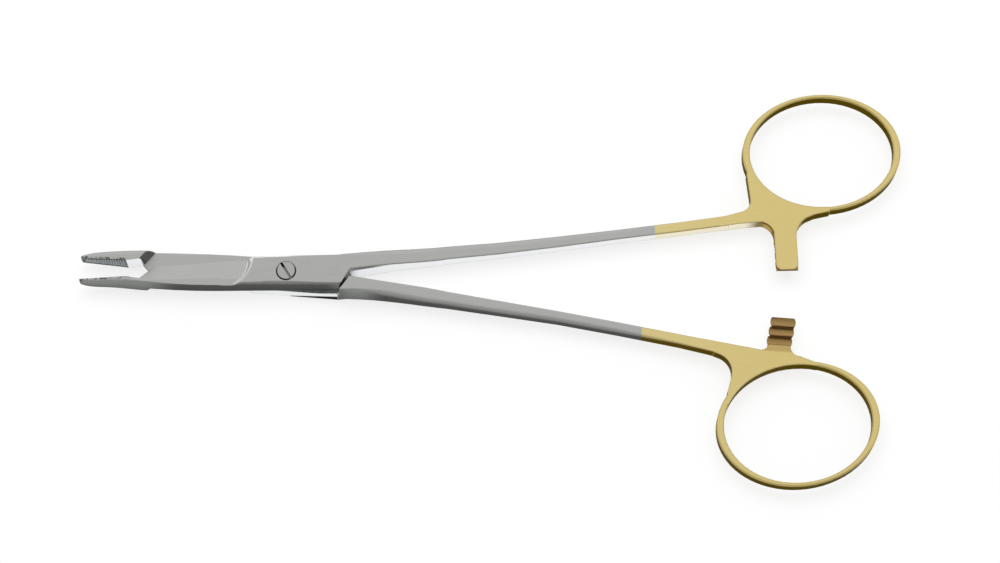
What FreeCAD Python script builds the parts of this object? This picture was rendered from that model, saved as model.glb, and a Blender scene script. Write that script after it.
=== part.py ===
import FreeCAD, Part
import math
import os

# A ring-handled needle holder with short scissor blades behind its jaws.
# Each half is drawn shut: the pivot stands on the Z axis, +X runs to the rings,
# the handle lies on the +Y side, the jaw on the -Y side, and the half's own lap
# plate is the upper layer. The lower half is the same forging turned over.

os.makedirs("parts", exist_ok=True)

V = FreeCAD.Vector

# the joint
JOINT_T = 6.0
LAP_GAP = 0.04
PLATE_HALF_W = 3.35
PLATE_HANDLE_W = 3.25
PLATE_REAR_X = 10.4
PLATE_REAR_SLANT = (2.15, 3.5)
PLATE_TAIL_W = 2.7
STOP_GAP = 0.15
PLATE_CHAMFER = 0.3
OPEN_ANGLE = 5.9

# the pivot screw
SHAFT_R = 1.3
RUN_CLEARANCE = 0.03
HEAD_R = 1.95
HEAD_SINK = 1.15
HEAD_PROUD = 0.12
SLOT_W = 0.5
SLOT_DEPTH = 0.6
SLOT_ANGLE = -56.4

# jaw, blade and plate share one round back: x, half width, height, flank depth
BACK_REACH = 6.0
UPPER_BACK = [
    (-41.0, 0.45, 2.5, 0.3),
    (-40.2, 0.75, 2.8, 0.45),
    (-37.0, 1.15, 3.5, 0.7),
    (-32.0, 1.5, 4.6, 0.9),
    (-27.0, 2.05, 5.2, 1.1),
    (-17.2, 2.76, 6.2, 1.4),
    (-7.3, 2.96, 6.3, 1.5),
    (2.5, 3.2, 6.3, 1.5),
    (13.0, 3.36, 6.3, 1.5),
]
LOWER_BACK = [
    (-41.0, 0.75, 2.5, 0.4),
    (-40.2, 1.1, 2.8, 0.6),
    (-37.0, 1.85, 3.5, 0.9),
    (-32.0, 2.4, 4.6, 1.0),
    (-27.0, 2.75, 5.2, 1.1),
    (-17.2, 3.27, 6.2, 1.4),
    (-7.3, 3.5, 6.3, 1.5),
    (2.5, 3.35, 6.3, 1.5),
    (13.0, 3.35, 6.3, 1.5),
]

# the jaw and its insert
JAW_TIP_X = -41.0
JAW_REAR_X = -22.0
JAW_INNER_Y = -0.1
INSERT_X = (-40.2, -32.0)
INSERT_H = (2.4, 4.3)
INSERT_T = (0.4, 0.8)
BITE_GAP = 0.04
SERRATION_PITCH = 0.52
SERRATION_DEPTH = 0.16

# the blade behind the jaw
NOTCH_X = (-31.3, -29.0)
NOTCH_DEPTH = 0.54
BLADE_NOSE = [(-27.5, 0.95), (-26.2, 2.25)]
BLADE_HEEL_X = -8.0
BLADE_FOOT_X = -28.5
BLADE_FOOT_SLOPE = 0.69
JAW_END_LEAN = 0.45
BLADE_TOP = 5.45
BLADE_EDGE_TOP = 3.95
BLADE_EDGE = ((-31.0, 2.1), (-5.0, 3.3))
BLADE_FLAT_Y = -1.0
SCOOP_X = -14.4
SCOOP_Y = 4.0
SCOOP_R = 7.9
SCOOP_LEAN = 0.62

# the shank: distance from the pivot, inner edge, outer edge, height, flank depth.
# It swells smoothly over the first rows and runs straight from row to row after them.
EDGE_BREAK = 0.15
SHANK_CURVED = 5
UPPER_SHANK = [
    (8.5, -0.2, 3.1, 6.0, 0.3),
    (12.6, 0.1, 3.75, 6.0, 0.6),
    (18.0, 0.85, 4.4, 4.9, 1.3),
    (24.0, 1.45, 4.75, 3.8, 1.3),
    (32.0, 2.2, 5.2, 3.2, 1.2),
    (42.0, 3.05, 5.8, 2.85, 1.15),
    (54.0, 4.3, 6.85, 2.8, 1.15),
    (66.0, 5.7, 8.0, 2.8, 1.0),
    (78.0, 6.95, 9.2, 2.8, 0.5),
    (88.0, 8.1, 10.3, 2.8, 0.15),
]
LOWER_SHANK = [
    (8.5, -0.2, 3.1, 6.0, 0.3),
    (12.6, 0.05, 3.2, 6.0, 0.5),
    (18.0, 0.3, 3.45, 4.9, 1.2),
    (24.0, 0.6, 3.8, 3.8, 1.3),
    (32.0, 1.35, 4.25, 3.2, 1.2),
    (42.0, 2.35, 5.0, 2.85, 1.15),
    (54.0, 3.6, 5.9, 2.8, 1.15),
    (66.0, 5.0, 7.25, 2.8, 1.0),
    (78.0, 6.5, 8.7, 2.8, 0.5),
    (85.0, 7.38, 9.75, 2.8, 0.15),
]

# the finger rings: hole, rim width at the ends and at the sides, place and tilt
RING_T = 2.8
HOLE_A = 14.5
HOLE_B = 11.85
RIM_END_W = 1.45
RIM_SIDE_W = 0.78
RING_EDGE = 0.2
UPPER_RING = (107.45, 23.4, 4.0)
LOWER_RING = (102.05, 22.9, -14.0)

# the web between shank, ring and ratchet tab: inner edge, tab side, outer edge
UPPER_WEB_IN = [(86.0, 7.9), (90.2, 8.4), ((94.6, 8.65), (96.1, 7.75), (96.87, 4.7))]
UPPER_WEB_TAB = [((101.25, 4.7), (101.85, 7.6), (103.4, 9.25)), (105.2, 10.0), (108.3, 10.6)]
UPPER_WEB_OUT = [
    (92.1, 19.0),
    ((92.55, 13.6), (92.0, 11.8), (90.4, 10.85)),
    (88.0, 10.25),
    (86.0, 9.5),
]
LOWER_WEB_IN = [(83.0, 7.15), ((93.6, 8.42), (95.0, 8.2), (95.6, 7.3))]
LOWER_WEB_TAB = [((99.9, 7.3), (100.3, 8.5), (101.9, 9.25)), (105.8, 10.5)]
LOWER_WEB_OUT = [
    (88.1, 17.5),
    ((88.65, 14.6), (88.3, 11.9), (86.4, 10.15)),
    (84.9, 9.65),
    (83.0, 9.0),
]

# the ratchet
TOOTH_PITCH = 2.0
TOOTH_COUNT = 3
TOOTH_DEPTH = 0.6
TOOTH_LAND = 0.35
TOOTH_CLEARANCE = 0.06
TAB_HALF_W = 2.2
TAB_END_R = 1.1
TAB_ROOT_Y = 9.0
UPPER_TAB = (99.05, -1.6, 0.0, 0.0)
LOWER_TAB = (98.65, 0.85, -0.135, 0.28)

MID = JOINT_T / 2
LAP_Z = MID + LAP_GAP / 2
RING_TOP = MID + RING_T / 2


def polygon(points, z):
    corners = [V(x, y, z) for x, y in points]
    return Part.makePolygon(corners + [corners[0]])


def prism(points, z0, z1):
    face = Part.Face(polygon(points, z0))
    return face.extrude(V(0, 0, z1 - z0))


def path(points, z):
    """A closed outline from lines, with (start, middle, end) triples as arcs."""
    edges = []
    last = None
    for item in points:
        if len(item) == 3:
            first, middle, end = [V(x, y, z) for x, y in item]
            if last is not None and (last - first).Length > 1e-6:
                edges.append(Part.makeLine(last, first))
            edges.append(Part.Arc(first, middle, end).toShape())
            last = end
        else:
            here = V(item[0], item[1], z)
            if last is not None and (last - here).Length > 1e-6:
                edges.append(Part.makeLine(last, here))
            last = here
    start = edges[0].Vertexes[0].Point
    if (last - start).Length > 1e-6:
        edges.append(Part.makeLine(last, start))
    return Part.Wire(edges)


def section(x, inner, outer, height, depth):
    """A section across a half: upright inner wall, level top, round outer side."""
    top = MID + height / 2
    low = MID - height / 2
    side = 1 if outer > inner else -1
    shoulder = outer - side * depth
    high = Part.BezierCurve()
    high.setPoles([V(x, shoulder, top), V(x, outer, top), V(x, outer, MID)])
    deep = Part.BezierCurve()
    deep.setPoles([V(x, outer, MID), V(x, outer, low), V(x, shoulder, low)])
    edge = side * EDGE_BREAK
    corners = [
        V(x, shoulder, low),
        V(x, inner + edge, low),
        V(x, inner, low + EDGE_BREAK),
        V(x, inner, top - EDGE_BREAK),
        V(x, inner + edge, top),
        V(x, shoulder, top),
    ]
    lines = [Part.makeLine(a, b) for a, b in zip(corners, corners[1:])]
    return Part.Wire(lines + [high.toShape(), deep.toShape()])


def back(values):
    """Everything inside the round back of jaw, blade and plate."""
    wires = []
    for x, width, height, depth in values:
        wires.append(section(x, BACK_REACH, -width, height, depth))
    return Part.makeLoft(wires, True, False)


def jaw(shell):
    """The jaw at full height, up to the slanted end of its lower layer."""
    sides = [
        (JAW_TIP_X, -BACK_REACH),
        (JAW_TIP_X, JAW_INNER_Y),
        (JAW_REAR_X, JAW_INNER_Y),
        (JAW_REAR_X, -BACK_REACH),
    ]
    body = prism(sides, 0, JOINT_T).common(shell)
    reach = JAW_END_LEAN * (LAP_Z + 0.5)
    foot = BLADE_FOOT_X - 0.5 * BLADE_FOOT_SLOPE
    heel = BLADE_FOOT_X + BACK_REACH * BLADE_FOOT_SLOPE
    far = JAW_REAR_X + 5
    upper = polygon([(foot, 0.5), (heel, -BACK_REACH), (far, -BACK_REACH), (far, 0.5)], LAP_Z)
    lower = polygon(
        [(foot - reach, 0.5), (heel - reach, -BACK_REACH), (far, -BACK_REACH), (far, 0.5)],
        -0.5,
    )
    body = body.cut(Part.makeLoft([lower, upper], True, True))
    notch = prism(
        [
            (NOTCH_X[0], 0.3),
            (NOTCH_X[0], JAW_INNER_Y),
            (NOTCH_X[1], -NOTCH_DEPTH),
            BLADE_NOSE[0],
        ],
        -0.5,
        JOINT_T + 0.5,
    )
    return body.cut(notch)


def scoop():
    """What is milled away above the blade: a sloping floor and a curved end."""
    sections = []
    for x, edge_y in BLADE_EDGE:
        points = [
            (-BACK_REACH, BLADE_TOP),
            (BLADE_FLAT_Y, BLADE_TOP),
            (edge_y, BLADE_EDGE_TOP),
            (edge_y + 1.5, BLADE_EDGE_TOP - 0.6),
            (edge_y + 1.5, JOINT_T + 1),
            (-BACK_REACH, JOINT_T + 1),
        ]
        corners = [V(x, y, z) for y, z in points]
        sections.append(Part.makePolygon(corners + [corners[0]]))
    slope = Part.makeLoft(sections, True, True)
    low_r = SCOOP_R - SCOOP_LEAN * (JOINT_T - 2.0)
    high_r = SCOOP_R + SCOOP_LEAN * 1.5
    cone = Part.makeCone(low_r, high_r, JOINT_T - 0.5, V(SCOOP_X, SCOOP_Y, 2.0))
    front = Part.makeBox(-SCOOP_X + 20, 20, 10, V(2 * SCOOP_X - 20, -8, 2.0))
    return slope.common(cone.fuse(front))


def plate(shell):
    """The lap plate with the blade in front of it, the upper layer of a half."""
    slant = PLATE_REAR_SLANT[0] / PLATE_REAR_SLANT[1]
    tail_x = PLATE_REAR_X + PLATE_REAR_SLANT[0]
    outline = [
        (NOTCH_X[1], -NOTCH_DEPTH),
        BLADE_NOSE[0],
        BLADE_NOSE[1],
        (BLADE_HEEL_X, PLATE_HANDLE_W),
        (PLATE_REAR_X, PLATE_HANDLE_W),
        (tail_x, PLATE_TAIL_W),
        (tail_x, PLATE_REAR_SLANT[1] - PLATE_HALF_W),
        (PLATE_REAR_X - (BACK_REACH - PLATE_HALF_W) * slant, -BACK_REACH),
        (NOTCH_X[1], -BACK_REACH),
    ]
    body = prism(outline, LAP_Z, JOINT_T).common(shell)
    edge = PLATE_HANDLE_W - PLATE_CHAMFER
    corners = [
        V(BLADE_HEEL_X, edge - 1, JOINT_T + 1),
        V(BLADE_HEEL_X, edge + 1 + PLATE_CHAMFER, JOINT_T - 1 - PLATE_CHAMFER),
        V(BLADE_HEEL_X, edge + 1 + PLATE_CHAMFER, JOINT_T + 1),
    ]
    chamfer = Part.Face(Part.makePolygon(corners + [corners[0]]))
    return body.cut(chamfer.extrude(V(tail_x - BLADE_HEEL_X, 0, 0)))


def shank(values):
    """The shank from the joint to the web, its lower layer cut at the shoulder."""
    wires = [section(*row) for row in values]
    curved = Part.makeLoft(wires[:SHANK_CURVED], True, False)
    straight = Part.makeLoft(wires[SHANK_CURVED - 1 :], True, True)
    body = curved.fuse(straight)
    body = body.common(Part.makeBox(100, 20, JOINT_T, V(0, -5, 0)))
    run = math.hypot(PLATE_REAR_SLANT[0], PLATE_REAR_SLANT[1])
    along = V(-PLATE_REAR_SLANT[0] / run, PLATE_REAR_SLANT[1] / run, 0)
    away = V(along.y, -along.x, 0)
    corner = V(PLATE_REAR_X, PLATE_HALF_W, 0) + away * STOP_GAP
    top = corner + along * 3
    foot = corner - along * 8
    recess = prism([(top.x, top.y), (foot.x, foot.y), (0, foot.y), (0, top.y)], -1, LAP_Z)
    return body.cut(recess)


def ellipse_face(cx, cy, major, minor, angle, z):
    curve = Part.Ellipse(V(0, 0, 0), major, minor)
    wire = Part.Wire(curve.toShape())
    wire.rotate(V(0, 0, 0), V(0, 0, 1), angle)
    wire.translate(V(cx, cy, z))
    return Part.Face(wire)


def ring_and_web(ring, web_in, web_tab, web_out):
    """The finger ring with the web that joins it to the shank and the tab."""
    cx, cy, angle = ring
    low = MID - RING_T / 2
    rim = ellipse_face(cx, cy, HOLE_A + RIM_END_W, HOLE_B + RIM_SIDE_W, angle, low)
    rim = rim.extrude(V(0, 0, RING_T))
    hole = ellipse_face(cx, cy, HOLE_A, HOLE_B, angle, low - 1)
    hole = hole.extrude(V(0, 0, RING_T + 2))
    ring_body = rim.cut(hole)
    ring_body = ring_body.makeChamfer(RING_EDGE, level_edges(ring_body))
    inside = [(cx, cy - HOLE_B + 4), (cx - HOLE_A + 1, cy)]
    wire = path(web_in + web_tab + inside + web_out, low)
    web = Part.Face(wire).extrude(V(0, 0, RING_T))
    return ring_body.fuse(web.cut(hole))


def level_edges(body):
    return [e for e in body.Edges if e.BoundBox.ZLength < 0.01]


def tooth(x, y0, z_root, z_tip, skew, bulge):
    """One ratchet tooth: a steep back at y0, a long slope towards the tab's end."""
    half = TAB_HALF_W
    y1 = y0 - TOOTH_PITCH
    x0 = x + skew * (y0 - TOOTH_PITCH / 2)
    left = x0 - 2 * half
    profile = [
        V(left, y0, z_root + 0.05),
        V(left, y0, z_tip),
        V(left, y0 - TOOTH_LAND, z_tip),
        V(left, y1, z_root),
        V(left, y1, z_root + 0.05),
    ]
    wedge = Part.Face(Part.makePolygon(profile + [profile[0]])).extrude(V(4 * half, 0, 0))
    middle = (y0 + y1) / 2
    if bulge > 0:
        sides = [
            ((x0 + half, y0), (x0 + half + bulge, middle), (x0 + half, y1)),
            ((x0 - half, y1), (x0 - half - bulge, middle), (x0 - half, y0)),
        ]
    else:
        sides = [(x0 + half, y0), (x0 + half, y1), (x0 - half, y1), (x0 - half, y0)]
    lobe = Part.Face(path(sides, z_tip - 1)).extrude(V(0, 0, 1 + 2 * TOOTH_DEPTH))
    return wedge.common(lobe)


def tab(values):
    """The ratchet tab: a plate level with the ring's top, teeth underneath."""
    x, end_y, skew, bulge = values
    tip = LAP_Z + TOOTH_CLEARANCE / 2 - LAP_GAP / 2
    root = tip + TOOTH_DEPTH
    half = TAB_HALF_W
    xe = x + skew * end_y
    xr = x + skew * TAB_ROOT_Y
    r = TAB_END_R
    wire = path(
        [
            (xr + half, TAB_ROOT_Y),
            (xr - half, TAB_ROOT_Y),
            ((xe - half, end_y + r), (xe - half * 0.8, end_y + 0.25 * r), (xe - half + r, end_y)),
            ((xe + half - r, end_y), (xe + half * 0.8, end_y + 0.25 * r), (xe + half, end_y + r)),
        ],
        root,
    )
    body = Part.Face(wire).extrude(V(0, 0, RING_TOP - root))
    for i in range(TOOTH_COUNT):
        y0 = end_y + TOOTH_PITCH * (i + 1)
        body = body.fuse(tooth(x, y0, root, tip, skew, bulge))
    return body


def insert():
    """The hard insert with a cross-serrated face, brazed into the jaw."""
    wires = []
    face_y = -BITE_GAP / 2
    for x, height, deep in zip(INSERT_X, INSERT_H, INSERT_T):
        low = MID - height / 2
        high = MID + height / 2
        corners = [
            V(x, face_y, low),
            V(x, face_y, high),
            V(x, face_y - deep, high),
            V(x, face_y - deep, low),
        ]
        wires.append(Part.makePolygon(corners + [corners[0]]))
    return Part.makeLoft(wires, True, True)


def serrate(body):
    """V grooves along and across the insert's working face."""
    face_y = -BITE_GAP / 2
    half = SERRATION_PITCH * 0.42
    length = INSERT_X[1] - INSERT_X[0]
    tools = []
    count = int(length / SERRATION_PITCH)
    for i in range(count):
        x = INSERT_X[0] + (i + 0.75) * SERRATION_PITCH
        points = [(x - half, face_y + 0.001), (x, face_y - SERRATION_DEPTH), (x + half, face_y + 0.001)]
        tools.append(prism(points, -1, JOINT_T + 1))
    rows = int(INSERT_H[1] / SERRATION_PITCH)
    for i in range(rows):
        z = MID + (i - (rows - 1) / 2) * SERRATION_PITCH
        corners = [
            V(INSERT_X[0] - 1, face_y + 0.001, z - half),
            V(INSERT_X[0] - 1, face_y - SERRATION_DEPTH, z),
            V(INSERT_X[0] - 1, face_y + 0.001, z + half),
        ]
        groove = Part.Face(Part.makePolygon(corners + [corners[0]]))
        tools.append(groove.extrude(V(length + 2, 0, 0)))
    return body.cut(Part.makeCompound(tools))


def half(back_values, shank_values, ring, web_in, web_tab, web_out, tab_values):
    shell = back(back_values)
    body = plate(shell).fuse(jaw(shell))
    body = body.cut(scoop())
    body = body.fuse(shank(shank_values))
    body = body.fuse(ring_and_web(ring, web_in, web_tab, web_out))
    body = body.fuse(tab(tab_values))
    return body.cut(insert())


def turn_over(body):
    body = body.copy()
    body.rotate(V(0, 0, MID), V(1, 0, 0), 180)
    return body


def swing(body, angle):
    body = body.copy()
    body.rotate(V(0, 0, 0), V(0, 0, 1), angle)
    return body


def upper_half():
    web = (UPPER_WEB_IN, UPPER_WEB_TAB, UPPER_WEB_OUT)
    body = half(UPPER_BACK, UPPER_SHANK, UPPER_RING, *web, UPPER_TAB)
    body = body.cut(Part.makeCylinder(SHAFT_R + RUN_CLEARANCE, JOINT_T + 2, V(0, 0, -1)))
    seat = Part.makeCylinder(HEAD_R + RUN_CLEARANCE, JOINT_T, V(0, 0, JOINT_T - HEAD_SINK))
    return swing(body.cut(seat), OPEN_ANGLE / 2)


def lower_half():
    web = (LOWER_WEB_IN, LOWER_WEB_TAB, LOWER_WEB_OUT)
    body = half(LOWER_BACK, LOWER_SHANK, LOWER_RING, *web, LOWER_TAB)
    body = body.cut(Part.makeCylinder(SHAFT_R, JOINT_T + 2, V(0, 0, -1)))
    return swing(turn_over(body), -OPEN_ANGLE / 2)


def screw():
    """The slotted pivot screw, its end filed level with the underside."""
    bottom = JOINT_T - HEAD_SINK + RUN_CLEARANCE
    height = JOINT_T + HEAD_PROUD - bottom
    head = Part.makeCylinder(HEAD_R, height, V(0, 0, bottom))
    rim = [e for e in head.Edges if e.BoundBox.ZMin > JOINT_T]
    head = head.makeChamfer(HEAD_PROUD * 0.8, rim)
    body = head.fuse(Part.makeCylinder(SHAFT_R, bottom + 0.1, V(0, 0, 0)))
    reach = HEAD_R + 1
    floor = JOINT_T + HEAD_PROUD - SLOT_DEPTH
    slot = Part.makeBox(2 * reach, SLOT_W, 2 * SLOT_DEPTH, V(-reach, -SLOT_W / 2, floor))
    return body.cut(swing(slot, SLOT_ANGLE)).removeSplitter()


def save(name, body):
    body.exportStep("parts/" + name + ".step")


save("upper_half", upper_half())
save("lower_half", lower_half())
save("pivot_screw", screw())
save("lower_jaw_insert", swing(serrate(insert()), OPEN_ANGLE / 2))
save("upper_jaw_insert", swing(turn_over(serrate(insert())), -OPEN_ANGLE / 2))
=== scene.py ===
import math
from types import SimpleNamespace

import bpy
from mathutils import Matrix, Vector

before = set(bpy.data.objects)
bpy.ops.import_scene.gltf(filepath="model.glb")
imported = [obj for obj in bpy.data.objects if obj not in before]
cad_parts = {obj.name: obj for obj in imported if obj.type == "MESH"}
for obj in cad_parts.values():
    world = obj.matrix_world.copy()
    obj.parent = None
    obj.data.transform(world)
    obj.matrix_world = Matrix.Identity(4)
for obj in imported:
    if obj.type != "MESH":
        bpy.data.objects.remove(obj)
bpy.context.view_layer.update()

MM = 0.001
WHITE = (1.0, 1.0, 1.0, 1.0)

# Sizes in mm from the CAD frame. At rest each half is swung by half the opening angle.
HALF_TURN = math.radians(2.95)
JOINT_T = 6.0
LAP_Z = JOINT_T / 2
SCREW_R = 1.95
INSERT_X = (-40.2, -32.0)
INSERT_H = (2.4, 4.3)

# Stretches along a half in mm, from its tip to its ring, with the pivot at 0.
GROOVES = (-41.0, INSERT_X[1])
TIP_END = -38.6
NOTCH_FROM = INSERT_X[1]
JAW_END = -25.0
SHOULDER_END = -24.0
MILLED = (-20.0, -4.0)
SCOOP = (-13.0, -4.5)
CHAMFER = (-9.0, 1.0)
LAP_FROM = -3.0
FOOT_FROM = 0.8
HEEL_FROM = 10.3
WEDGE = (1.0, HEEL_FROM)
SHANK_FROM = 12.4
ROOT_END = 17.0
CORNER_END = 19.0
LOWER_PLATED_FROM = 70.7
UPPER_PLATED_FROM = 73.2
WEB = (76.0, 96.0)
SHANK_END = 86.0
RING_FROM = 88.0
WALL_END = 93.0
TAB = (94.0, 103.0)

# Heights in a half's own frame in mm, where the lap plate fills LAP_Z to JOINT_T.
JAW_FROM_Z = 1.9
LAP_FACE_Z = (LAP_Z - 0.06, LAP_Z + 0.06)
TEETH_Z = (LAP_Z - 0.5, LAP_Z + 0.66)
MILLED_FROM_Z = 4.0
SCOOP_FROM_Z = 4.2
CORNER_FROM_Z = 4.6
WEDGE_Z = (5.3, 3.9)
HEAD_TOP_Z = JOINT_T + 0.06

# Places across a half in mm, with its own ring on the plus side.
JAW_EDGE_Y = (-0.5, 0.5)
TEETH_Y = (-4.0, 7.0)
TAB_ROOT_Y = (TEETH_Y[1], TEETH_Y[1] + 1.6)

# Rounding of the edges in mm.
EDGE_ROUND = 0.14
RING_ROUND = 0.4
SHANK_ROUND = 0.38
SCOOP_ROUND = 0.55
INSERT_ROUND = 0.05

# Finishes in mm: the halves, the inserts, and then the screw.
STREAK_WIDTH = 0.22
STREAK_DEPTH = 0.004
CLOUD_SIZE = 6.25
GROOVE_SHADE_SIZE = 0.7
SPECKS_PER_MM = 2.2
SPECK_DEPTH = 0.004
BRAZE_SHADE_WIDTH = 0.42
RING_SPACING = 0.2
RING_DEPTH = 0.0004
SEAM_WIDTH = 0.24
SCREW_FAR_Y = 0.9

# Share of a face's normal that points up: where a side starts to darken, where it is
# dark, and where the face counts as level. A chamfer leans up and sideways alike.
SIDE_TOP = 0.86
SIDE_LOW = 0.4
LEVEL = 0.95
CHAMFER_LEAN = (0.5, 0.85)

# Y or X share of the normal past which a face counts as that wall. Minus looks towards
# the other half or the tip.
FRONT_WALL_Y = 0.75
SHANK_WALL_Y = -0.8
MILLED_WALL_X = -0.25
SHOULDER_X = 0.2


def linear(hex_colour):
    """An sRGB hex value as linear RGBA."""
    parts = [int(hex_colour[i : i + 2], 16) / 255 for i in (1, 3, 5)]
    out = [c / 12.92 if c <= 0.04045 else ((c + 0.055) / 1.055) ** 2.4 for c in parts]
    return (*out, 1.0)


def add(tree, kind, inputs=None, **settings):
    """Adds one node, sets its properties, and fills or links its inputs."""
    node = tree.nodes.new(kind)
    for name, value in settings.items():
        setattr(node, name, value)
    for name, value in (inputs or {}).items():
        socket = node.inputs[name]
        if isinstance(value, bpy.types.NodeSocket):
            tree.links.new(value, socket)
        else:
            socket.default_value = value
    return node


def new_material(name):
    material = bpy.data.materials.new(name)
    material.use_nodes = True
    tree = material.node_tree
    tree.nodes.clear()
    return material, tree


def combine(tree, operation, *masks):
    """Joins masks: MULTIPLY where all have to hold, MAXIMUM where one is enough."""
    result = masks[0]
    for mask in masks[1:]:
        result = add(tree, "ShaderNodeMath", {0: result, 1: mask}, operation=operation).outputs[0]
    return result


def band(tree, value, start, end, blur=0.1):
    """A mask that is 1 between start and end, with soft ends. None leaves an end open."""
    steps = []
    for edge, side in ((start, blur), (end, -blur)):
        if edge is not None:
            step = add(
                tree,
                "ShaderNodeMapRange",
                {"Value": value, "From Min": edge - side, "From Max": edge + side},
                interpolation_type="SMOOTHSTEP",
            )
            steps.append(step.outputs["Result"])
    return combine(tree, "MULTIPLY", *steps)


def layered(tree, ground, *layers):
    """Lays colours or numbers over a ground, each by its own mask."""
    result = ground
    for mask, value in layers:
        if isinstance(value, float):
            mix = add(tree, "ShaderNodeMix", {0: mask, 2: result, 3: value}, data_type="FLOAT")
            result = mix.outputs[0]
        else:
            mix = add(tree, "ShaderNodeMix", {0: mask, 6: result, 7: value}, data_type="RGBA")
            result = mix.outputs[2]
    return result


def own_place(tree, turned_over):
    """Place in mm in a half's own frame: pivot at 0, rings towards +X.

    In this frame the handle lies on the +Y side and the half's lap plate is on top,
    for the lower half too, which is the same forging turned over.
    """
    flip = -1.0 if turned_over else 1.0
    return add(
        tree,
        "ShaderNodeMapping",
        {
            "Vector": add(tree, "ShaderNodeTexCoord").outputs["Object"],
            "Location": (0.0, 0.0, JOINT_T if turned_over else 0.0),
            "Rotation": (0.0, 0.0, -HALF_TURN),
            "Scale": (1 / MM, flip / MM, flip / MM),
        },
        vector_type="POINT",
    ).outputs[0]


def own_facing(tree, turned_over):
    """The direction that a face looks in, in the same frame."""
    flip = -1.0 if turned_over else 1.0
    return add(
        tree,
        "ShaderNodeMapping",
        {
            "Vector": add(tree, "ShaderNodeTexCoord").outputs["Normal"],
            "Rotation": (0.0, 0.0, -HALF_TURN),
            "Scale": (1.0, flip, flip),
        },
        vector_type="VECTOR",
    ).outputs[0]


def grain(tree, place, stretch, size_mm):
    """A fine noise of one size across a half, drawn out along it by the stretch."""
    streak = add(
        tree,
        "ShaderNodeMapping",
        {"Vector": place, "Scale": (1 / (size_mm * stretch), 1 / size_mm, 1 / size_mm)},
    )
    return add(
        tree,
        "ShaderNodeTexNoise",
        {"Vector": streak.outputs[0], "Scale": 1.0, "Detail": 3.0, "Roughness": 0.6},
    ).outputs["Fac"]


def edges(tree, radius_mm):
    """The rounded normal, and a mask that is 1 along the edges, which carry wear and painted edge
    highlight and shade.
    """
    size = add(tree, "ShaderNodeMath", {0: radius_mm, 1: MM}, operation="MULTIPLY").outputs[0]
    soft = add(tree, "ShaderNodeBevel", {"Radius": size}, samples=6).outputs[0]
    hard = add(tree, "ShaderNodeNewGeometry").outputs["Normal"]
    turn = add(tree, "ShaderNodeVectorMath", {0: soft, 1: hard}, operation="DOT_PRODUCT")
    edge_wear_and_shading = add(
        tree,
        "ShaderNodeMapRange",
        {"Value": turn.outputs["Value"], "From Min": 0.995, "From Max": 0.9},
    ).outputs["Result"]
    return soft, edge_wear_and_shading


def finish_metal(tree, colour, roughness, normal, height, height_mm, edge_tint=WHITE):
    """A metal surface with a fine relief, and a tint for its glancing reflections."""
    bump = add(
        tree,
        "ShaderNodeBump",
        {"Height": height, "Strength": 1.0, "Distance": height_mm * MM, "Normal": normal},
    )
    shader = add(
        tree,
        "ShaderNodeBsdfPrincipled",
        {
            "Base Color": colour,
            "Metallic": 1.0,
            "Roughness": roughness,
            "Specular Tint": edge_tint,
            "Normal": bump.outputs[0],
        },
    )
    add(tree, "ShaderNodeOutputMaterial", {"Surface": shader.outputs[0]})


def read_half(tree, turned_over):
    """What the finishes of a half follow: place, direction, rounding, edges with wear and painted light
    and shade, and grain.
    """
    place = own_place(tree, turned_over)
    at = add(tree, "ShaderNodeSeparateXYZ", {0: place}).outputs
    look = add(tree, "ShaderNodeSeparateXYZ", {0: own_facing(tree, turned_over)}).outputs
    up = add(tree, "ShaderNodeMath", {0: look["Z"]}, operation="ABSOLUTE").outputs[0]

    ring = band(tree, at["X"], RING_FROM, None, blur=5.0)
    shank = band(tree, at["X"], SHANK_FROM, SHANK_END, blur=1.0)
    scoop = combine(
        tree, "MULTIPLY", band(tree, at["X"], *SCOOP, blur=0.5), band(tree, at["Z"], SCOOP_FROM_Z, None)
    )
    radius = layered(tree, EDGE_ROUND, (ring, RING_ROUND), (shank, SHANK_ROUND), (scoop, SCOOP_ROUND))
    rounded, edge_wear_and_shading = edges(tree, radius)

    streaks = grain(tree, place, stretch=16.0, size_mm=STREAK_WIDTH)
    clouds = add(
        tree,
        "ShaderNodeTexNoise",
        {"Vector": place, "Scale": 1 / CLOUD_SIZE, "Detail": 3.0, "Roughness": 0.5},
    ).outputs["Fac"]
    # round sides, and the end wall of the lap plate: the further a face turns from up, the more painted
    # shade it gets
    steep = add(
        tree,
        "ShaderNodeMapRange",
        {"Value": up, "From Min": SIDE_TOP, "From Max": SIDE_LOW},
        interpolation_type="SMOOTHSTEP",
    ).outputs["Result"]
    return SimpleNamespace(
        place=place,
        at=at,
        look=look,
        up=up,
        scoop=scoop,
        rounded=rounded,
        edge_wear_and_shading=edge_wear_and_shading,
        streaks=streaks,
        clouds=clouds,
        steep=steep,
    )


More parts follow.
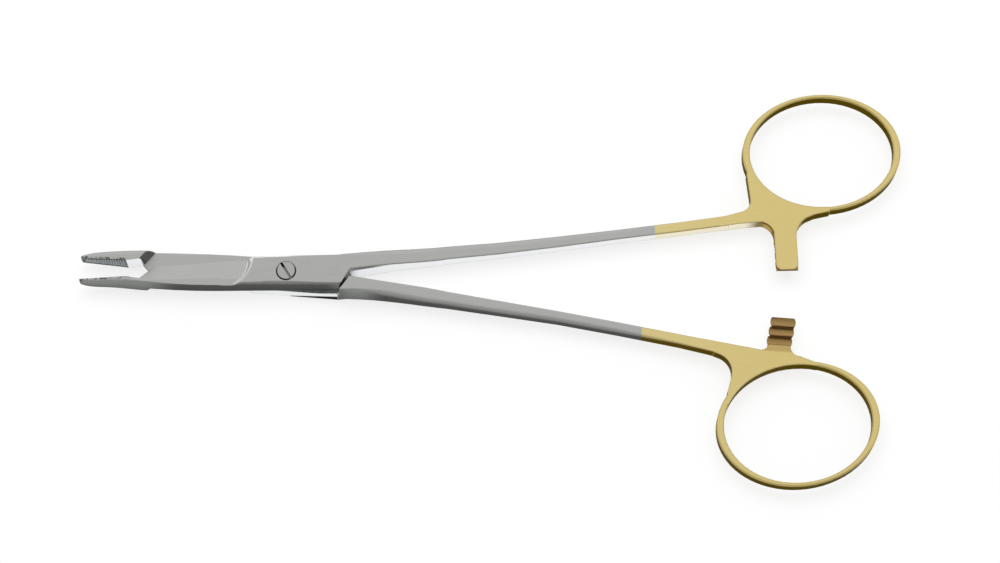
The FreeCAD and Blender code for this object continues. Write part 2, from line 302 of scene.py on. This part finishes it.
def ground_faces(tree, half):
    """Masks of the two ground walls, and of all ground faces, which are glossy and painted near white as a
    reflection of the white table.
    """
    at, look = half.at, half.look
    # from the notch to the end of the lap plate, on the handle side
    front_wall = combine(
        tree,
        "MULTIPLY",
        band(tree, look["Y"], FRONT_WALL_Y, None),
        band(tree, at["X"], NOTCH_FROM, HEEL_FROM, blur=0.2),
    )
    # the shank's inner wall, with a hard start at the plate's end wall
    behind = add(tree, "ShaderNodeMath", {0: at["X"], 1: SHANK_FROM}, operation="GREATER_THAN")
    shank_wall = combine(
        tree,
        "MULTIPLY",
        band(tree, look["Y"], None, SHANK_WALL_Y, blur=0.06),
        band(tree, at["X"], SHANK_FROM, WALL_END, blur=2.0),
        behind.outputs[0],
    )
    lap_face = combine(
        tree,
        "MULTIPLY",
        band(tree, at["Z"], *LAP_FACE_Z, blur=0.02),
        band(tree, half.up, LEVEL, None, blur=0.03),
        band(tree, at["X"], LAP_FROM, HEEL_FROM, blur=0.3),
    )
    polished_and_painted_bright = combine(tree, "MAXIMUM", front_wall, shank_wall, lap_face)
    return SimpleNamespace(front_wall=front_wall, shank_wall=shank_wall, polished_and_painted_bright=polished_and_painted_bright)


def painted_shade_lines(tree, half, ground):
    """Masks of painted shade: a dark line on the shank's ground wall, and a dark band low on the plate's
    ground wall.
    """
    at = half.at
    # painted shade along the wall's edges, and in the upper corner behind the plate
    corner = combine(
        tree,
        "MULTIPLY",
        band(tree, at["Z"], CORNER_FROM_Z, None, blur=0.15),
        band(tree, at["X"], SHANK_FROM, CORNER_END, blur=2.5),
    )
    line = combine(tree, "MAXIMUM", corner, half.edge_wear_and_shading)
    wall_shade_line = combine(tree, "MULTIPLY", ground.shank_wall, line)

    # painted shade towards the plate's outer face, in a wedge that widens to the rear
    wedge = add(
        tree,
        "ShaderNodeMapRange",
        {
            "Value": at["X"],
            "From Min": WEDGE[0],
            "From Max": WEDGE[1],
            "To Min": WEDGE_Z[0],
            "To Max": WEDGE_Z[1],
        },
    ).outputs["Result"]
    past = add(tree, "ShaderNodeMath", {0: at["Z"], 1: wedge}, operation="SUBTRACT").outputs[0]
    foot_shade = combine(
        tree,
        "MULTIPLY",
        ground.front_wall,
        band(tree, past, 0.0, None, blur=0.2),
        band(tree, at["X"], FOOT_FROM, SHANK_FROM, blur=0.5),
    )
    return SimpleNamespace(wall_shade_line=wall_shade_line, foot_shade=foot_shade)


def cut_edges(tree, half):
    """Mask of the painted highlight on the cut edges: the scoop's curved end, its lip, the plate's
    chamfer.
    """
    at, look = half.at, half.look
    milled = combine(
        tree,
        "MULTIPLY",
        band(tree, look["X"], None, MILLED_WALL_X),
        band(tree, at["X"], *MILLED, blur=0.5),
        band(tree, at["Z"], MILLED_FROM_Z, None),
    )
    chamfer = combine(
        tree,
        "MULTIPLY",
        band(tree, look["Y"], *CHAMFER_LEAN, blur=0.06),
        band(tree, half.up, *CHAMFER_LEAN, blur=0.06),
        band(tree, at["X"], *CHAMFER, blur=3.0),
    )
    lip = combine(tree, "MULTIPLY", half.scoop, half.edge_wear_and_shading)
    return combine(tree, "MAXIMUM", milled, chamfer, lip)


def side_painted_shade(tree, half):
    """Painted shade of the round sides: dark, lighter on the jaw, its tip and the shank's root."""
    at = half.at
    root = band(tree, at["X"], HEEL_FROM, ROOT_END, blur=3.0)
    jaw = combine(
        tree,
        "MULTIPLY",
        band(tree, at["X"], None, JAW_END, blur=4.0),
        band(tree, at["Z"], JAW_FROM_Z, None, blur=0.7),
    )
    tip = band(tree, at["X"], None, TIP_END, blur=1.0)
    lighter = linear("#8a8c8a")
    return layered(tree, linear("#545654"), (root, lighter), (jaw, linear("#868886")), (tip, lighter))


def satin_steel(tree, half, painted_edge_highlight, ground, dark):
    """Colour of the bare steel, with painted shade, highlights and reflection laid over it."""
    at = half.at
    # painted shade: dark dots where the insert's grooves reach the edge of the jaw
    groove_shade = add(
        tree,
        "ShaderNodeMapRange",
        {
            "Value": grain(tree, half.place, stretch=1.0, size_mm=GROOVE_SHADE_SIZE),
            "From Min": 0.45,
            "From Max": 0.6,
        },
    ).outputs["Result"]
    groove_shade = combine(
        tree,
        "MULTIPLY",
        groove_shade,
        band(tree, at["Y"], *JAW_EDGE_Y, blur=0.06),
        band(tree, at["X"], *GROOVES, blur=0.5),
    )
    # painted shade on the step behind the jaw, lighter than on the round sides
    shoulder = combine(
        tree,
        "MULTIPLY",
        half.steep,
        band(tree, at["X"], NOTCH_FROM, SHOULDER_END, blur=0.5),
        band(tree, half.look["X"], SHOULDER_X, None),
    )
    flat = layered(
        tree, linear("#acadaa"), (half.streaks, linear("#cdcecb")), (half.clouds, linear("#babbb8"))
    )
    return layered(
        tree,
        flat,
        # painted shade on the round sides
        (half.steep, side_painted_shade(tree, half)),
        (shoulder, linear("#8a8c8a")),
        # painted shade at the groove ends
        (groove_shade, linear("#4a4c4b")),
        # lighter along the edges: wear, with a painted highlight
        (half.edge_wear_and_shading, linear("#c4c5c3")),
        # painted highlight on the cut edges
        (painted_edge_highlight, linear("#f6f6f5")),
        # ground faces painted near white: a painted reflection of the table
        (ground.polished_and_painted_bright, linear("#f4f5f6")),
        # dark lines of painted shade on the shank wall and low on the plate's wall
        (dark.wall_shade_line, linear("#4e504e")),
        (dark.foot_shade, linear("#303130")),
    )


def plated_gold(tree, half, ground, dark):
    """Colour of the gold plating, a little deeper on the web than on the shank, with painted shade and
    reflection laid over it.
    """
    web = add(
        tree,
        "ShaderNodeMapRange",
        {"Value": half.at["X"], "From Min": WEB[0], "From Max": WEB[1]},
    ).outputs["Result"]
    flat = layered(tree, linear("#e3d193"), (web, linear("#e2cb80")), (half.streaks, linear("#ecda98")))
    return layered(
        tree,
        flat,
        # painted shade on the round sides and ring walls
        (half.steep, linear("#5a4a20")),
        # along the edges: wear, with painted edge shading
        (half.edge_wear_and_shading, linear("#d8c07a")),
        # the shank's ground wall painted pale: a painted reflection of the table
        (ground.shank_wall, linear("#f4ecd0")),
        # a dark line of painted shade on that wall
        (dark.wall_shade_line, linear("#7a6836")),
    )


def shaded_ratchet(tree, half, gold):
    """The ratchet's teeth: a darker brown of painted shade, a painted highlight on their ridges, and a
    slightly darker gold at their root.
    """
    at = half.at
    along_tab = band(tree, at["X"], *TAB)
    root = combine(
        tree,
        "MULTIPLY",
        along_tab,
        band(tree, at["Y"], *TAB_ROOT_Y, blur=0.3),
        band(tree, at["Z"], None, TEETH_Z[1]),
    )
    teeth = combine(
        tree,
        "MULTIPLY",
        along_tab,
        band(tree, at["Y"], *TEETH_Y),
        band(tree, at["Z"], *TEETH_Z, blur=0.03),
    )
    ridge_highlight = add(
        tree, "ShaderNodeMapRange", {"Value": at["Z"], "From Min": TEETH_Z[1], "From Max": LAP_Z}
    ).outputs["Result"]
    # darker brown painted shade on the teeth, with a painted highlight on their ridges
    brown = layered(tree, linear("#5e4722"), (ridge_highlight, linear("#c4a56a")), (half.streaks, linear("#94764a")))
    return layered(tree, gold, (root, linear("#cdb274")), (teeth, brown))


def handle_steel(name, turned_over, plated_from):
    """Forged martensitic stainless, satin brushed, its ring end plated with gold.

    The eye sees a soft mid grey on the flats with faint streaks along the half, and round
    outer sides painted in a shade that grades to dark. Inner walls and lap faces are ground
    glossy and painted near white, a painted reflection of the white table. The warm pale
    gold starts at one sharp line across the shank. Its ring walls are painted in a brown
    shade, and the ratchet's teeth in a darker brown shade with painted highlights on their
    ridges.
    """
    material, tree = new_material(name)
    half = read_half(tree, turned_over)
    painted_edge_highlight = cut_edges(tree, half)
    ground = ground_faces(tree, half)
    dark = painted_shade_lines(tree, half, ground)
    plated = band(tree, half.at["X"], plated_from, None, blur=0.12)
    steel = satin_steel(tree, half, painted_edge_highlight, ground, dark)
    gold = shaded_ratchet(tree, half, plated_gold(tree, half, ground, dark))
    colour = layered(tree, steel, (plated, gold))
    rough = layered(
        tree, 0.34, (half.streaks, 0.4), (half.edge_wear_and_shading, 0.3), (painted_edge_highlight, 0.22), (ground.polished_and_painted_bright, 0.1)
    )
    # the sides, painted in shade, stay dark at a glancing view too; ground faces mirror fully
    side_tint = layered(tree, linear("#b6b6b6"), (plated, linear("#b8b5a0")))
    edge_tint = layered(
        tree, WHITE, (half.steep, side_tint), (ground.polished_and_painted_bright, WHITE), (dark.foot_shade, linear("#b0b0b0"))
    )
    finish_metal(tree, colour, rough, half.rounded, half.streaks, STREAK_DEPTH, edge_tint)
    return material


def screw_steel():
    """Turned stainless screw: plate grey with fine rings, with painted shade in the slot and in the gap
    around the head.
    """
    material, tree = new_material("turned_stainless_screw")
    at = add(tree, "ShaderNodeSeparateXYZ", {0: own_place(tree, False)}).outputs
    level = add(tree, "ShaderNodeCombineXYZ", {"X": at["X"], "Y": at["Y"]}).outputs[0]
    radius = add(tree, "ShaderNodeVectorMath", {0: level}, operation="LENGTH").outputs["Value"]
    # turning rings are about 0.05 mm apart, drawn 0.2 mm apart so that they show
    turns = add(
        tree, "ShaderNodeMath", {0: radius, 1: 2 * math.pi / RING_SPACING}, operation="MULTIPLY"
    ).outputs[0]
    rings = add(tree, "ShaderNodeMath", {0: turns}, operation="SINE").outputs[0]
    top = band(tree, at["Z"], HEAD_TOP_Z, None, blur=0.02)
    # painted shade in the gap around the head: on the near side, fading out on the far side
    near = band(tree, at["Y"], None, SCREW_FAR_Y, blur=0.7)
    rim = band(tree, radius, SCREW_R - SEAM_WIDTH, None, blur=0.05)
    seam_shade = combine(tree, "MULTIPLY", rim, near)
    # painted shade below the head's top: mid grey in the slot, near black at its far end
    slot_end = band(tree, at["Y"], SCREW_FAR_Y, None, blur=0.3)
    slot = layered(tree, linear("#8c8d8b"), (slot_end, linear("#171817")))
    colour = layered(tree, slot, (top, linear("#b9bab7")), (seam_shade, linear("#262726")))
    normal = add(tree, "ShaderNodeNewGeometry").outputs["Normal"]
    finish_metal(tree, colour, 0.36, normal, rings, RING_DEPTH)
    return material


def carbide():
    """Sintered hard metal: dull, a little blue, with a dark band along its brazed edges that also carries
    painted shade.
    """
    material, tree = new_material("sintered_carbide_teeth")
    place = own_place(tree, False)
    at = add(tree, "ShaderNodeSeparateXYZ", {0: place}).outputs
    speck = add(
        tree,
        "ShaderNodeTexNoise",
        {"Vector": place, "Scale": SPECKS_PER_MM, "Detail": 5.0, "Roughness": 0.7},
    ).outputs["Fac"]
    rounded, edge_wear_and_shading = edges(tree, INSERT_ROUND)
    # how far a point is from the upper or lower edge of the wedge-shaped insert
    half_height = add(
        tree,
        "ShaderNodeMapRange",
        {
            "Value": at["X"],
            "From Min": INSERT_X[0],
            "From Max": INSERT_X[1],
            "To Min": INSERT_H[0] / 2,
            "To Max": INSERT_H[1] / 2,
        },
    ).outputs["Result"]
    height = add(tree, "ShaderNodeMath", {0: at["Z"], 1: LAP_Z}, operation="SUBTRACT").outputs[0]
    height = add(tree, "ShaderNodeMath", {0: height}, operation="ABSOLUTE").outputs[0]
    to_edge = add(tree, "ShaderNodeMath", {0: half_height, 1: height}, operation="SUBTRACT").outputs[0]
    # dark band along the upper and lower edges: the brazed joint, deepened with painted shade
    braze_seam_shade = band(tree, to_edge, None, BRAZE_SHADE_WIDTH, blur=0.12)
    colour = layered(
        tree,
        linear("#949a9b"),
        (speck, linear("#b6bcbd")),
        # lighter along the edges: wear, with a painted highlight
        (edge_wear_and_shading, linear("#bfc4c4")),
        (braze_seam_shade, linear("#4a4c4b")),
    )
    finish_metal(tree, colour, 0.4, rounded, speck, SPECK_DEPTH)
    return material


def pale_floor():
    """A plain pale table that reads white and keeps a soft shadow."""
    material, tree = new_material("pale_table")
    rays = add(tree, "ShaderNodeLightPath").outputs
    seen = combine(
        tree, "MAXIMUM", rays["Is Camera Ray"], rays["Is Glossy Ray"], rays["Is Transmission Ray"]
    )
    # seen directly or mirrored it mostly glows, and the matt rest keeps the shadow
    share = add(tree, "ShaderNodeMath", {0: seen, 1: 0.8}, operation="MULTIPLY").outputs[0]
    matt = add(tree, "ShaderNodeBsdfDiffuse", {"Color": linear("#f2f2f2")})
    glow = add(tree, "ShaderNodeEmission", {"Color": WHITE, "Strength": 0.97})
    both = add(tree, "ShaderNodeMixShader", {0: share, 1: matt.outputs[0], 2: glow.outputs[0]})
    add(tree, "ShaderNodeOutputMaterial", {"Surface": both.outputs[0]})
    return material


def dress(node_name, material):
    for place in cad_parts[node_name].material_slots:
        place.material = material


dress("upper_half", handle_steel("satin_stainless_gold_ring_upper", False, UPPER_PLATED_FROM))
dress("lower_half", handle_steel("satin_stainless_gold_ring_lower", True, LOWER_PLATED_FROM))
dress("pivot_screw", screw_steel())
hard_metal = carbide()
dress("lower_jaw_insert", hard_metal)
dress("upper_jaw_insert", hard_metal)


# the table, just below the object so that the two planes don't mix
TABLE_HALF = 3.0
TABLE_Z = -0.1 * MM
corners = [(-1, -1), (1, -1), (1, 1), (-1, 1)]
floor_mesh = bpy.data.meshes.new("table_top")
floor_mesh.from_pydata(
    [(x * TABLE_HALF, y * TABLE_HALF, TABLE_Z) for x, y in corners], [], [(0, 1, 2, 3)]
)
floor = bpy.data.objects.new("table_top", floor_mesh)
bpy.context.scene.collection.objects.link(floor)
floor.data.materials.append(pale_floor())


# the light: a room that is brighter behind the object, with one wide soft lamp overhead
ROOM_FRONT = (0.5, 0.5, 0.5, 1.0)
ROOM_BACK = (0.95, 0.95, 0.95, 1.0)
world = bpy.data.worlds.new("studio")
bpy.context.scene.world = world
world.use_nodes = True
sky = world.node_tree
sky.nodes.clear()
direction = add(sky, "ShaderNodeTexCoord").outputs["Generated"]
compass = add(sky, "ShaderNodeSeparateXYZ", {0: direction}).outputs
back = band(sky, compass["Y"], 0.0, None, blur=0.6)
room = layered(sky, ROOM_FRONT, (back, ROOM_BACK))
glow = add(sky, "ShaderNodeBackground", {"Color": room, "Strength": 0.95})
add(sky, "ShaderNodeOutputWorld", {"Surface": glow.outputs[0]})


def soft_lamp(name, place, target, size, power):
    data = bpy.data.lights.new(name, "AREA")
    data.shape = "RECTANGLE"
    data.size = size[0]
    data.size_y = size[1]
    data.energy = power
    lamp = bpy.data.objects.new(name, data)
    bpy.context.scene.collection.objects.link(lamp)
    lamp.location = place
    aim = Vector(target) - Vector(place)
    lamp.rotation_euler = aim.to_track_quat("-Z", "Y").to_euler()
    # the steel mirrors the room and not the lamp
    lamp.visible_glossy = False


soft_lamp(
    "overhead_softbox", place=(0.0, 0.25, 0.8), target=(0.04, 0.0, 0.0), size=(0.9, 0.6), power=6.0
)


# the camera: 70 degrees above the table, turned with the photo's level line
VIEW_TURN = math.radians(1.55)
VIEW_RISE = math.radians(70.0)
VIEW_REACH = 0.5148
VIEW_CENTRE = (42.165, -1.178)
across = Vector((math.cos(VIEW_TURN), math.sin(VIEW_TURN), 0.0))
away = Vector((-math.sin(VIEW_TURN), math.cos(VIEW_TURN), 0.0))
upward = Vector((0.0, 0.0, 1.0))
target = (across * VIEW_CENTRE[0] + away * VIEW_CENTRE[1] + upward * LAP_Z) * MM
eye = target + (upward * math.sin(VIEW_RISE) - away * math.cos(VIEW_RISE)) * VIEW_REACH
lens = bpy.data.cameras.new("photo_view")
lens.sensor_width = 36.0
lens.lens = 93.6
lens.clip_start = 0.01
camera = bpy.data.objects.new("photo_view", lens)
bpy.context.scene.collection.objects.link(camera)
camera.location = eye
camera.rotation_euler = (target - eye).to_track_quat("-Z", "Y").to_euler()
bpy.context.scene.camera = camera
bpy.context.scene.view_settings.view_transform = "Standard"
